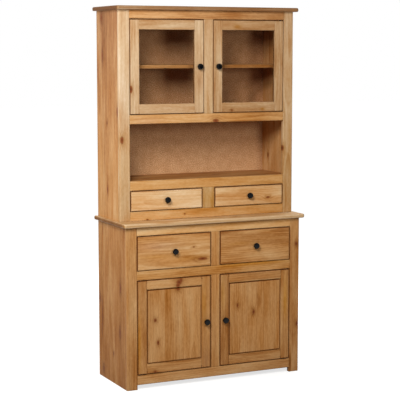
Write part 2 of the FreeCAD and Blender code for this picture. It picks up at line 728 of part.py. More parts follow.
def drawer(name, side, front, sill, head, inner, side_height):
    """A drawer with a lapped front, a box of three boards, a grooved-in bottom and a knob."""
    low = f"{sill} + fit_gap"
    height = f"({head} - ({sill}) - 2 * fit_gap)"
    width = f"(opening_edge - {inner} - 2 * fit_gap)"
    left = from_side(side, "corner_stile + fit_gap", width)
    inside = f"({width} - 2 * drawer_side_thickness)"
    face = board(f"{name}_front", (width, "frame_thickness", height), (left, front, low))
    soften_between(face, "front_edge_round", "front left", "front right", "front top", "front bottom")
    lap = ("drawer_side_thickness", "drawer_lap", side_height)
    for end in SIDES:
        cut(face, f"{end}_lap", lap, (at_end(end, width, "drawer_side_thickness"), "frame_thickness - drawer_lap", "0"))
    cut(face, "groove", (inside, "drawer_groove", "drawer_bottom_thickness"),
        ("drawer_side_thickness", "frame_thickness - drawer_groove", "drawer_bottom_lift"))
    bore(face, "knob_hole", "spigot_hole", "spigot_length + glue_room", (f"{width} / 2", "0", f"{height} / 2"), "y")
    subpart(face)
    start = f"({front} + frame_thickness - drawer_lap)"
    run = f"(stop_face - runner_play - {start})"
    boards = []
    for end in SIDES:
        inward = "right" if end == "left" else "left"
        x = f"{left} + {at_end(end, width, 'drawer_side_thickness')}"
        body = board(f"{name}_{end}_side", ("drawer_side_thickness", run, side_height), (x, start, low))
        cut(body, "groove", ("drawer_groove", run, "drawer_bottom_thickness"),
            (at_end(inward, "drawer_side_thickness", "drawer_groove"), "0", "drawer_bottom_lift"))
        boards.append(body)
    rise = "drawer_bottom_lift + drawer_bottom_thickness"
    rear = f"{start} + {run} - drawer_side_thickness"
    x = f"{left} + drawer_side_thickness"
    size = (inside, "drawer_side_thickness", f"{side_height} - ({rise})")
    boards.append(board(f"{name}_rear", size, (x, rear, f"{low} + {rise}")))
    group(f"{name}_box", boards)
    reach = "(drawer_groove - panel_room)"
    front_edge = f"({front} + frame_thickness - {reach})"
    size = (f"{inside} + 2 * {reach}", f"{start} + {run} - {front_edge}", "drawer_bottom_thickness")
    subpart(board(f"{name}_bottom", size, (f"{x} - {reach}", front_edge, f"{low} + drawer_bottom_lift")))
    turned_knob(f"{name}_knob", (f"{left} + {width} / 2", front, f"{low} + {height} / 2"))


base()
hutch()
wooden_pins()
doors = []
for hand in SIDES:
    doors.append((f"{hand}_panel_door", hand, "base_front", "base_door_sill", "base_door_head"))
    doors.append((f"{hand}_glass_door", hand, "hutch_front", "hutch_door_sill", "hutch_door_head"))
for entry in doors:
    door(*entry, glazed="glass" in entry[0])
door_pivots(doors)
door_catches([
    ("base_catch", "base_frame_back", "base_door_head"),
    ("hutch_catch", "hutch_frame_back", "hutch_door_head"),
])
for hand in SIDES:
    drawer(f"{hand}_large_drawer", hand, "base_front", "base_drawer_sill", "base_drawer_head",
           "center_stile / 2", "base_drawer_side")
    drawer(f"{hand}_small_drawer", hand, "hutch_front", "hutch_drawer_sill", "hutch_drawer_head",
           "drawer_stile / 2", "hutch_drawer_side")
doc.recompute()

# Nothing is written unless every object is sound
for thing in doc.Objects:
    if "Invalid" in thing.State or "Error" in thing.State:
        raise RuntimeError(f"{thing.Label} failed: {thing.State}")
for thing in subparts:
    if thing.Shape.isNull() or not thing.Shape.isValid() or not thing.Shape.Solids:
        raise RuntimeError(f"{thing.Label} has no sound solid")

os.makedirs("parts", exist_ok=True)
for thing in subparts:
    thing.Shape.exportStep(f"parts/{thing.Label}.step")
print(len(subparts), "nodes,", sum(len(thing.Shape.Solids) for thing in subparts), "solids")
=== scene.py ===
"""Highboard of oiled pine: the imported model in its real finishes, on a white studio floor, at the
photo's angle."""
import math

import bpy
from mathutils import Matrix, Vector


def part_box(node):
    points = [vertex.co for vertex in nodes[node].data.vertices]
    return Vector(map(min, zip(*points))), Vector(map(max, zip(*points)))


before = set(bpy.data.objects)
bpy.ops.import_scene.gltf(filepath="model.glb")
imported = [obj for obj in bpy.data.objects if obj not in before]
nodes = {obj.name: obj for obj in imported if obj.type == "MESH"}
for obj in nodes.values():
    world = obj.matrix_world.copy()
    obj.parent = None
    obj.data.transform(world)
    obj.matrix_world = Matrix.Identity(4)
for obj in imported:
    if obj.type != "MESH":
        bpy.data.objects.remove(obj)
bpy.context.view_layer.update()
scene = bpy.context.scene
scene.view_settings.view_transform = "Standard"

MM = 0.001
LETTERS = "XYZ"

# Growth of the pine, in millimetres. Real rings are 2 to 5 wide and are drawn a little wider so that
# they show. Along the axis of the face, a board's pith lies PITH_NEAR before the board's middle or up to
# PITH_SPREAD further, and across the grain up to half of PITH_SIDE beside it.
RING = 6.5
RING_WANDER = 42.0
PITH_SIDE = 110.0
PITH_NEAR = 22.0
PITH_SPREAD = 95.0
# How dark a ring is, from the start of its year to the end.
LATEWOOD = ((0.0, 0.0), (0.45, 0.18), (0.84, 1.0), (0.93, 0.8), (1.0, 0.0))
# The grain's patterns: size across the grain and along it in millimetres, and octaves of detail.
# Fibres, and flecks of resin that are really about 1 mm wide, are drawn wider so that they show.
GRAIN = {
    "wander": (140.0, 900.0, 2.0),
    "broad": (60.0, 300.0, 2.0),
    "streak": (12.0, 230.0, 3.0),
    "fibre": (1.6, 60.0, 2.0),
    "fleck": (6.5, 20.0, 2.0),
}
GRAIN_ROUGHNESS = 0.55
# Steps that set the draws of boards and of nodes apart, and how far apart in the patterns two boards
# may be cut, in metres.
BOARD_STEP = 1.37
NODE_STEP = 17.3
CUT_APART = (9.0, 9.0, 9.0)

# Knots: how far rings swell round one in millimetres and how fast that falls off, how ragged its
# outline is, where its colour fades in, as shares of its size, and how much of the wood it covers.
KNOT_SWELL = 13.0
KNOT_FALL = 0.22
KNOT_RAG = 1.1
KNOT_FADE = (1.15, 0.75)
KNOT_COVER = 0.9

# Oiled pine from the palest wood to dark latewood: honey-coloured heartwood, and sapwood that stays
# greyer.
HEARTWOOD = ((0.0, "#EFDEC4"), (0.2, "#E2C49C"), (0.4, "#D2A877"), (0.6, "#BE8B55"), (0.8, "#9E6A39"),
             (1.0, "#744521"))
SAPWOOD = ((0.0, "#E8D8C3"), (0.2, "#D6BFA2"), (0.4, "#C4A581"), (0.6, "#AE875E"), (0.8, "#92663C"),
           (1.0, "#6B4523"))
# A knot from its heart to its bark ring.
KNOT_TONES = ((0.0, "#4C2412"), (0.45, "#78391C"), (0.75, "#8A4A26"), (0.92, "#482715"),
              (1.0, "#845028"))
# How far each pattern moves the tone, and its middle value. Rings fade in and out along a board.
RING_TONE = (0.22, 0.18)
BROAD_TONE = (0.44, 0.5)
STREAK_TONE = (0.30, 0.5)
FIBRE_TONE = (0.10, 0.5)
FLECK_TONE = (0.22, 0.5)
BOARD_TONE = (0.09, 0.5)
END_TONE = (0.42, 0.0)
KNOT_TONE = (0.20, 0.0)
# Darker streaks are redder too, by this share of the colour circle, and richer by this share. The
# neutral hue changes nothing.
HUE_SWING = 0.015
NEUTRAL_HUE = 0.5
RICH_SWING = 0.22
# How far latewood stands out beside the fibres.
RING_RELIEF = 0.5
# Most of a noise lies between these values.
NOISE_LOW = 0.3
NOISE_HIGH = 0.7

# Edges: colour, its share, width in millimetres, and which edges have it. Outer edges are rubbed
# paler, the beads behind the panes are left plain, and the whole rim of the hutch's top is darker,
# painted shade where less light reaches it. Painted shade darkens the edges along a gap, where shadow
# falls: round a drawer's front, the outline of a door's frame, a panel's field, a rail between its
# stiles, and a stile beside the fronts. Its bands are drawn wider than 1 or 2 mm so that they show.
RUBBED = ("#EBD6B8", 0.07, 2.0, "all")
PLAIN = ("#EBD6B8", 0.0, 2.0, "all")
# Painted shade on the top's rim, where less light reaches it.
RIM = ("#5E3A1E", 0.35, 2.0, "rim")
# Painted shade along the gaps, in dark brown.
GAP_SHADE_FRONT = ("#602A08", 0.95, 7.5, "front")
GAP_SHADE_OUTLINE = ("#602A08", 0.95, 7.5, "outline")
THIN_GAP_SHADE = ("#683814", 0.8, 4.0, "outline")
FIELD_GAP_SHADE = ("#602A08", 0.85, 4.5, "all")
SPAN_GAP_SHADE = ("#602A08", 0.95, 6.0, "spans")
BESIDE_GAP_SHADE = ("#602A08", 0.95, 6.0, "beside")
# Share of the painted gap shade on the lower edge of a drawer's front and on the upper edge of a
# rail, where light from above falls into the gap, and how far a rounded upper edge leans up.
UPLIT_SHADE_SHARE = 0.3
UPPER_LEAN = 0.1
# Where the spans of the carcase's rails start and end, in millimetres from the middle.
SPAN = (34.0, 421.0)
# Fronts whose height the painted gap shade on the stiles' edges follows, and how far in millimetres
# those edges stay inside the outer ones.
BESIDE = {
    "base_stiles": ("left_large_drawer_front", "left_panel_door_stiles"),
    "hutch_stiles": ("left_small_drawer_front",),
}
BESIDE_INSET = 15.0
# Cosines of the turn from the flat where an edge's band starts and where it is full, the same on the
# round of the edge, and the least by which a round still looks to the front.
BAND_TURN = (0.995, 0.87)
ROUND_TURN = (0.99, 0.9)
ROUND_LEAST = 0.1
# Cosines of the turn from the grain where a face starts to be end grain and where it is.
END_TURN = (0.5, 0.85)

# Each pine node: axis of the grain, axis that its face looks along, number of boards side by side,
# strength of the figure, shades spread evenly across the grain from low to high, wood and edges.
PINE = {
    "base_top": ("X", "Z", 4, 1.0, (0.54,), SAPWOOD, RUBBED),
    "base_left_side": ("Z", "X", 5, 0.8, (0.82,), HEARTWOOD, RUBBED),
    "base_right_side": ("Z", "X", 5, 0.8, (0.62,), HEARTWOOD, RUBBED),
    "base_stiles": ("Z", "Y", 7, 0.8, (0.745, 0.665, 0.70), HEARTWOOD, BESIDE_GAP_SHADE),
    # The base's top rail is paler: painted light under the shadow of the base top's overhang.
    "base_rails": ("X", "Y", 5, 1.0, (0.66, 0.65, 0.63, 0.535), HEARTWOOD, SPAN_GAP_SHADE),
    "base_floor": ("X", "Z", 4, 1.0, (0.58,), HEARTWOOD, RUBBED),
    "base_shelf": ("X", "Z", 4, 1.0, (0.56,), HEARTWOOD, RUBBED),
    "base_drawer_runners": ("Y", "X", 9, 1.0, (0.52,), HEARTWOOD, RUBBED),
    "hutch_top": ("X", "Z", 4, 1.0, (0.66,), SAPWOOD, RIM),
    "hutch_left_side": ("Z", "X", 4, 0.75, (0.63,), HEARTWOOD, RUBBED),
    "hutch_right_side": ("Z", "X", 4, 0.75, (0.60,), HEARTWOOD, RUBBED),
    "hutch_stiles": ("Z", "Y", 7, 1.0, (0.40, 0.48, 0.51), SAPWOOD, BESIDE_GAP_SHADE),
    "hutch_rails": ("X", "Y", 9, 1.0, (0.485, 0.52, 0.58, 0.605, 0.62, 0.66, 0.72), HEARTWOOD,
                    SPAN_GAP_SHADE),
    "niche_floor": ("X", "Z", 3, 1.0, (0.80,), HEARTWOOD, RUBBED),
    "cupboard_floor": ("X", "Z", 3, 1.0, (0.60,), HEARTWOOD, RUBBED),
    "cupboard_shelf": ("X", "Z", 3, 1.0, (0.60,), HEARTWOOD, RUBBED),
    "hutch_drawer_runners": ("Y", "X", 9, 1.0, (0.52,), HEARTWOOD, RUBBED),
}
# The same for the pieces of doors and drawers, with the shade of the left one and how much darker
# the right one is, painted shade where less light falls on the right.
FRONTS = {
    "panel_door_stiles": ("Z", "Y", 2, 0.95, 0.71, 0.06, HEARTWOOD, GAP_SHADE_OUTLINE),
    "panel_door_rails": ("X", "Y", 2, 0.9, 0.66, 0.06, HEARTWOOD, GAP_SHADE_OUTLINE),
    "panel_door_panel": ("Z", "Y", 3, 0.7, 0.68, 0.02, HEARTWOOD, FIELD_GAP_SHADE),
    "glass_door_stiles": ("Z", "Y", 2, 1.0, 0.53, 0.06, SAPWOOD, THIN_GAP_SHADE),
    "glass_door_rails": ("X", "Y", 2, 1.0, 0.565, 0.06, SAPWOOD, THIN_GAP_SHADE),
    "glass_door_beads": ("X", "Y", 2, 1.0, 0.575, 0.06, SAPWOOD, PLAIN),
    "large_drawer_front": ("X", "Y", 2, 1.0, 0.585, 0.108, HEARTWOOD, GAP_SHADE_FRONT),
    "small_drawer_front": ("X", "Y", 1, 1.0, 0.41, 0.096, HEARTWOOD, GAP_SHADE_FRONT),
}
# The right pieces get the painted shade.
for piece, (grain, face, boards, figure, shade, darker, wood, edge) in FRONTS.items():
    PINE["left_" + piece] = (grain, face, boards, figure, (shade,), wood, edge)
    PINE["right_" + piece] = (grain, face, boards, figure, (shade + darker,), wood, edge)

# Tone that a node's boards gain at the low end of their grain and at the high end, and how much
# richer their colour is at the node's foot and at its head.
# The rails and the hutch's top darken towards the right: painted shade where less light falls.
FADES = {
    "hutch_stiles": (0.07, -0.02, 0.10, 0.0),
    "hutch_top": (0.0, 0.10, -0.04, -0.04),
    "hutch_left_side": (-0.03, 0.22, 0.0, -0.07),
    "base_left_side": (0.03, -0.07, 0.05, 0.0),
    "base_stiles": (0.03, -0.03, 0.0, 0.0),
    "base_rails": (-0.02, 0.05, -0.01, 0.04),
    "hutch_rails": (-0.02, 0.11, 0.05, -0.03),
    "base_top": (0.02, -0.07, 0.08, 0.08),
}
# Soft patches of deeper or paler wood: place across the grain and along it, half width and half
# length in millimetres, then the tone and the richness gained.
PATCHES = {
    "hutch_stiles": ((0, 915, 45, 70, 0.04, 0.13), (-458, 1390, 40, 190, -0.06, -0.07),
                     (453, 1342, 40, 150, -0.03, 0.0)),
    "hutch_rails": ((1306, -330, 25, 90, -0.02, -0.08), (1017, 321, 25, 100, -0.04, 0.0)),
    "hutch_top": ((0, -500, 600, 12, 0.09, 0.0),),
    "left_glass_door_stiles": ((-51, 1499, 8, 32, 0.13, -0.06),),
    "right_glass_door_rails": ((1774, 160, 10, 20, 0.12, 0.10), (1361, 305, 7, 12, 0.12, 0.12)),
    "base_rails": ((585, 223, 12, 200, 0.0, 0.07),),
    "base_stiles": ((431, 55, 7, 50, 0.30, 0.06),),
    "left_large_drawer_front": ((637, -115, 12, 90, 0.13, 0.04), (655, -330, 9, 90, 0.06, 0.04),
                                (705, -330, 22, 110, 0.0, -0.09)),
    "right_large_drawer_front": ((690, 130, 9, 90, 0.06, 0.04), (640, 330, 12, 120, -0.03, 0.0)),
    "left_panel_door_stiles": ((-416, 235, 12, 150, 0.01, 0.11), (-52, 115, 22, 55, 0.10, -0.03),
                               (-64, 400, 14, 90, 0.05, 0.08)),
    "right_panel_door_stiles": ((42, 440, 14, 90, 0.04, 0.08), (399, 385, 12, 110, 0.03, 0.13)),
    "right_panel_door_panel": ((247, 387, 14, 34, 0.10, 0.0), (210, 339, 9, 26, 0.08, 0.0),
                               (242, 237, 90, 70, -0.03, 0.0)),
}
# Knots that show: place across the grain and along it and half width in millimetres, and length over
# width.
KNOTS = {
    "hutch_stiles": ((-466, 1224, 9, 2.2), (424, 1157, 6, 2.4)),
    "base_stiles": ((462, 669, 7, 1.5), (468, 250, 6, 1.8)),
    "hutch_rails": ((1306, 40, 11, 1.5), (829, -334, 3, 2.2), (847, -132, 3, 1.4)),
    "left_glass_door_stiles": ((-417, 1468, 9, 1.9),),
    "right_glass_door_rails": ((1358, 129, 4, 1.4),),
    "left_panel_door_rails": ((519, -200, 15, 1.0), (528, -190, 12, 0.8), (505, -206, 12, 1.0),
                              (82, -330, 5, 1.4)),
    "left_large_drawer_front": ((628, -71, 7, 3.4), (690, -120, 3, 2.0)),
    "left_panel_door_panel": ((-313, 225, 6, 1.9), (-328, 339, 8, 1.2), (-205, 488, 9, 1.1)),
    "right_panel_door_panel": ((126, 375, 5, 2.0), (218, 334, 6, 1.8)),
    "right_small_drawer_front": ((907, 339, 6, 2.0),),
    "hutch_left_side": ((134, 1816, 8, 2.6), (124, 1629, 7, 3.2), (-70, 1359, 8, 3.0),
                        (66, 1300, 5, 1.8), (66, 969, 6, 3.6)),
    "base_left_side": ((183, 404, 8, 2.0), (-95, 496, 8, 3.0), (-85, 272, 8, 3.0), (138, 43, 8, 1.6),
                       (3, 152, 5, 2.0)),
    "hutch_right_side": ((40, 1500, 9, 1.6), (130, 1105, 7, 1.9), (-30, 960, 6, 2.2)),
    "base_right_side": ((-60, 610, 9, 1.5), (90, 330, 8, 2.0), (150, 700, 6, 1.8),
                        (-120, 140, 7, 1.6)),
    "base_top": ((120, 260, 9, 1.8), (-40, -330, 8, 1.6), (-150, 120, 6, 2.2)),
    "hutch_top": ((60, -210, 9, 1.7), (130, 310, 8, 1.9), (-40, 90, 6, 2.0)),
    "base_shelf": ((30, 180, 8, 1.8), (-90, -260, 7, 1.7)),
    "base_floor": ((60, -150, 8, 1.7), (-70, 240, 7, 1.9)),
    "cupboard_shelf": ((70, 220, 7, 1.8),),
    "niche_floor": ((60, 110, 7, 1.9), (20, -290, 6, 1.8)),
}

# Panel pins of the backs, in millimetres: from the edge, from pin to pin, half the head's width, and
# the soft rim of the head.
PIN_INSET = 9.0
PIN_PACE = 120.0
PIN_HEAD = 3.0
PIN_RIM = 0.6

# White studio: what the camera and reflections see is white, and the light on the object comes from
# the lamps. Lengths are in metres.
FLOOR_HALF = 30.0
FLOOR_DROP = 0.0005
STUDIO_LIGHT = 0.03
NEAR_GLOW = 0.72
NEAR_REACH = 0.8
FAR_REACH = 3.2
# A dark card stands where the panes mirror it, so that they show the shelves instead of the white
# room.
CARD_PLACE = (0.75, -1.5, 1.37)
CARD_HALF = (0.67, 0.55)
CORNERS = ((-1, -1), (1, -1), (1, 1), (-1, 1))
# Lamps: place, the point they look at, side of the square in metres, and power in watts.
LAMPS = {
    "lamp_key": ((-1.8, -2.2, 2.6), (-0.1, 0.0, 1.2), 1.0, 95.0),
    "lamp_front": ((0.3, -2.4, 1.7), (0.0, 0.0, 1.3), 0.5, 19.0),
    "lamp_left": ((-2.4, 0.1, 1.9), (-0.4, 0.05, 1.1), 1.0, 29.0),
    "lamp_rear_right": ((2.6, 1.4, 2.4), (0.2, 0.1, 1.0), 1.2, 60.0),
    "lamp_rear": ((0.4, 2.9, 2.2), (0.0, 0.2, 1.0), 1.2, 42.0),
}
# Camera: fitted to the photo's corners and outline, turned down a little so that the picture needs no
# shift. Place in metres, turns in degrees, focal length in pixels of the picture, sensor in mm.
CAMERA_PLACE = (-2.815, -5.894, 1.655)
CAMERA_TURN = -25.515
CAMERA_DIP = 6.60
FOCUS_PIXELS = 1291.7
PICTURE_SIDE = 400
SENSOR = 36.0
FARTHEST = 100.0


def linear(code):
    """An sRGB hex colour as the linear values that the shaders use."""
    parts = [int(code[i:i + 2], 16) / 255 for i in (1, 3, 5)]
    return tuple(c / 12.92 if c <= 0.04045 else ((c + 0.055) / 1.055) ** 2.4 for c in parts) + (1.0,)


def add(tree, kind, inputs=None, out=0, stops=None, **settings):
    """Adds one node with its settings and its inputs, which are values or the sockets that feed them.
    A colour ramp keeps its black start and white end where no stop takes their place."""
    made = tree.nodes.new("ShaderNode" + kind)
    for name, value in settings.items():
        setattr(made, name, value)
    for key, value in (inputs or {}).items():
        if isinstance(value, bpy.types.NodeSocket):
            tree.links.new(value, made.inputs[key])
        else:
            made.inputs[key].default_value = value
    for place, code in stops or ():
        old = [e for e in made.color_ramp.elements if math.isclose(e.position, place, abs_tol=1e-6)]
        element = old[0] if old else made.color_ramp.elements.new(place)
        element.color = linear(code) if isinstance(code, str) else (code, code, code, 1.0)
    return made.outputs[out]


def surface(name):
    """An empty material with one shader."""
    material = bpy.data.materials.new(name)
    material.use_nodes = True
    tree = material.node_tree
    tree.nodes.clear()
    shader = tree.nodes.new("ShaderNodeBsdfPrincipled")
    output = tree.nodes.new("ShaderNodeOutputMaterial")
    tree.links.new(shader.outputs[0], output.inputs["Surface"])
    return material, tree, shader


def from_middle(tree, place, start, stop):
    """How far a place along an axis is from the middle between two ends."""
    shifted = add(tree, "Math", {0: place, 1: (start + stop) / 2}, operation="SUBTRACT")
    return add(tree, "Math", {0: shifted}, operation="ABSOLUTE")


def from_spot(tree, flat, side, along, half_width, half_length):
    """The way from a spot on a face, counted in the spot's half width and half length."""
    scale = (1 / (half_width * MM), 1 / (half_length * MM), 0)
    shift = (-side / half_width, -along / half_length, 0)
    return add(tree, "VectorMath", {0: flat, 1: scale, 2: shift}, operation="MULTIPLY_ADD")


def edge_wear_and_shade(tree, node, ways, axes, normals, band, which):
    """Where the edges of a pine node are rubbed paler or darkened with painted shade, from 0 to 1,
    both on their round and on the flat beside it, and the normal that rounds them. The ways are the
    numbers of the axes along the grain, across it and out of the face."""
    low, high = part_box(node)
    g, a, f = ways
    rounded = add(tree, "Bevel", {"Radius": band}, samples=4)
    facing = add(tree, "Math", {0: normals[f]}, operation="ABSOLUTE")
    leaning = add(tree, "MapRange", {"Value": facing, "From Min": ROUND_TURN[0],
                                     "From Max": ROUND_TURN[1]})
    if which == "rim":
        return leaning, rounded
    flat_normal = add(tree, "NewGeometry", out="Normal")
    turned = add(tree, "VectorMath", {0: rounded, 1: flat_normal}, out="Value", operation="DOT_PRODUCT")
    beside = add(tree, "MapRange", {"Value": turned, "From Min": BAND_TURN[0], "From Max": BAND_TURN[1]})
    tilted = add(tree, "Math", {0: facing, 1: ROUND_LEAST}, operation="GREATER_THAN")
    on_round = add(tree, "Math", {0: leaning, 1: tilted}, operation="MULTIPLY")
    wear_and_shade = add(tree, "Math", {0: beside, 1: on_round}, operation="MAXIMUM")
    if which == "all":
        return wear_and_shade, rounded

    if which == "front":
        # Less painted shade on the lower edge, where light from above falls.
        chosen = add(tree, "MapRange", {"Value": axes[a], "From Min": low[a] + band,
                                        "From Max": low[a] + 2 * band, "To Min": UPLIT_SHADE_SHARE})
    elif which == "outline":
        chosen = 0.0
        for way in (g, a):
            out = from_middle(tree, axes[way], low[way], high[way])
            start = (high[way] - low[way]) / 2 - 2 * band
            near = add(tree, "Math", {0: out, 1: start}, operation="GREATER_THAN")
            chosen = add(tree, "Math", {0: near, 1: chosen}, operation="MAXIMUM")
    elif which == "spans":
        out = from_middle(tree, axes[g], low[g], high[g])
        past_middle = add(tree, "Math", {0: out, 1: SPAN[0] * MM}, operation="GREATER_THAN")
        before_end = add(tree, "Math", {0: out, 1: SPAN[1] * MM}, operation="LESS_THAN")
        spanned = add(tree, "Math", {0: past_middle, 1: before_end}, operation="MULTIPLY")
        # Less painted shade on upper edges, where light from above falls.
        upward = add(tree, "SeparateXYZ", {0: rounded}).node.outputs[2]
        shade_share = add(tree, "MapRange", {"Value": upward, "From Max": UPPER_LEAN, "To Min": 1.0,
                                        "To Max": UPLIT_SHADE_SHARE})
        chosen = add(tree, "Math", {0: spanned, 1: shade_share}, operation="MULTIPLY")
    else:  # beside the fronts
        level = 0.0
        for front in BESIDE[node]:
            start, stop = (corner[g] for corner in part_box(front))
            out = from_middle(tree, axes[g], start, stop)
            within = add(tree, "Math", {0: out, 1: (stop - start) / 2}, operation="LESS_THAN")
            level = add(tree, "Math", {0: within, 1: level}, operation="MAXIMUM")
        out = from_middle(tree, axes[a], low[a], high[a])
        start = (high[a] - low[a]) / 2 - BESIDE_INSET * MM
        inner = add(tree, "Math", {0: out, 1: start}, operation="LESS_THAN")
        chosen = add(tree, "Math", {0: level, 1: inner}, operation="MULTIPLY")
    return add(tree, "Math", {0: wear_and_shade, 1: chosen}, operation="MULTIPLY"), rounded


def sawn_boards(tree, node, ways, axes, boards, seed):
    """Cuts a node into boards side by side: what chance draws for each board, as a colour and as its
    three values, and how far a place is from the board's own pith."""
    low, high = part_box(node)
    _, a, f = ways
    board_width = (high[a] - low[a]) / boards
    middle = (low[f] + high[f]) / 2
    count = add(tree, "Math", {0: axes[a], 1: 1 / board_width, 2: -low[a] / board_width},
                operation="MULTIPLY_ADD")
    board = add(tree, "Math", {0: count}, operation="FLOOR")
    draw = add(tree, "Math", {0: board, 1: BOARD_STEP, 2: seed * NODE_STEP}, operation="MULTIPLY_ADD")
    chance = add(tree, "TexWhiteNoise", {"W": draw}, out="Color", noise_dimensions="1D")
    luck = add(tree, "SeparateXYZ", {0: chance}).node.outputs
    inside = add(tree, "Math", {0: count}, operation="FRACT")
    local = add(tree, "Math", {0: inside, 1: board_width, 2: -board_width / 2}, operation="MULTIPLY_ADD")
    pith_side = add(tree, "Math", {0: luck[0], 1: PITH_SIDE * MM, 2: -PITH_SIDE * MM / 2},
                    operation="MULTIPLY_ADD")
    pith_depth = add(tree, "Math", {0: luck[1], 1: PITH_SPREAD * MM, 2: PITH_NEAR * MM - middle},
                     operation="MULTIPLY_ADD")
    from_side = add(tree, "Math", {0: local, 1: pith_side}, operation="ADD")
    from_depth = add(tree, "Math", {0: axes[f], 1: pith_depth}, operation="ADD")
    from_pith = add(tree, "CombineXYZ", {0: from_side, 1: from_depth})
    radius = add(tree, "VectorMath", {0: from_pith}, out="Value", operation="LENGTH")
    return chance, luck, radius


def grain_patterns(tree, ways, axes, chance):
    """Noises stretched along the grain, which chance moves from board to board."""
    g, a, f = ways
    laid = add(tree, "CombineXYZ", {0: axes[a], 1: axes[f], 2: axes[g]})
    grown = add(tree, "VectorMath", {0: chance, 1: CUT_APART, 2: laid}, operation="MULTIPLY_ADD")
    noise = {}
    for name, (wide, long, detail) in GRAIN.items():
        scale = (1 / (wide * MM), 1 / (wide * MM), 1 / (long * MM))
        spread = add(tree, "VectorMath", {0: grown, 1: scale}, operation="MULTIPLY")
        noise[name] = add(tree, "TexNoise", {"Vector": spread, "Scale": 1.0, "Detail": detail,
                                             "Roughness": GRAIN_ROUGHNESS})
    return noise


def near_knots(tree, knots, flat, streak):
    """How far a place is from the nearest knot, counted in that knot's size with a ragged outline, and
    how much the wood swells there, from 0 to 1."""
    reach = None
    for side, along, size, long in knots:
        way = from_spot(tree, flat, side, along, size, size * long)
        gone = add(tree, "VectorMath", {0: way}, out="Value", operation="LENGTH")
        reach = gone if reach is None else add(tree, "Math", {0: reach, 1: gone}, operation="MINIMUM")
    ragged = add(tree, "Math", {0: streak, 1: KNOT_RAG, 2: -KNOT_RAG / 2}, operation="MULTIPLY_ADD")
    reach = add(tree, "Math", {0: reach, 1: ragged}, operation="ADD")
    squared = add(tree, "Math", {0: reach, 1: reach}, operation="MULTIPLY")
    falling = add(tree, "Math", {0: squared, 1: -KNOT_FALL}, operation="MULTIPLY")
    swell = add(tree, "Math", {0: falling}, operation="EXPONENT")
    return reach, swell


def tone_of_wood(tree, node, ways, axes, flat, shades, patterns, broad):
    """The tone of the wood, from 0 where it is palest to 1 where it is darkest, and how rich its colour
    is. They start from the node's shades and fades, with its soft patches, and the patterns move the
    tone."""
    low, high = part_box(node)
    g, a, _ = ways
    width = high[a] - low[a]
    share = add(tree, "Math", {0: axes[a], 1: 1 / width, 2: -low[a] / width}, operation="MULTIPLY_ADD")
    if len(shades) == 1:
        shades = shades * 2
    last = len(shades) - 1
    shade = add(tree, "ValToRGB", {0: share}, stops=[(k / last, s) for k, s in enumerate(shades)])
    at_rest = sum(weight * mean for _, (weight, mean) in patterns)
    tone = add(tree, "Math", {0: shade, 1: at_rest}, operation="SUBTRACT")
    rich = add(tree, "Math", {0: broad, 1: RICH_SWING, 2: 1 - RICH_SWING / 2}, operation="MULTIPLY_ADD")
    if node in FADES:
        tone_low, tone_high, rich_foot, rich_head = FADES[node]
        fade = add(tree, "MapRange", {"Value": axes[g], "From Min": low[g], "From Max": high[g],
                                      "To Min": tone_low, "To Max": tone_high})
        tone = add(tree, "Math", {0: tone, 1: fade}, operation="ADD")
        fade = add(tree, "MapRange", {"Value": axes[2], "From Min": low[2], "From Max": high[2],
                                      "To Min": rich_foot, "To Max": rich_head})
        rich = add(tree, "Math", {0: rich, 1: fade}, operation="ADD")
    for side, along, half_width, half_length, deeper, richer in PATCHES.get(node, ()):
        way = from_spot(tree, flat, side, along, half_width, half_length)
        squared = add(tree, "VectorMath", {0: way, 1: way}, out="Value", operation="DOT_PRODUCT")
        falling = add(tree, "Math", {0: squared, 1: -1.0}, operation="MULTIPLY")
        patch = add(tree, "Math", {0: falling}, operation="EXPONENT")
        tone = add(tree, "Math", {0: patch, 1: deeper, 2: tone}, operation="MULTIPLY_ADD")
        rich = add(tree, "Math", {0: patch, 1: richer, 2: rich}, operation="MULTIPLY_ADD")
    for part, (weight, _) in patterns:
        tone = add(tree, "Math", {0: part, 1: weight, 2: tone}, operation="MULTIPLY_ADD")
    return tone, rich


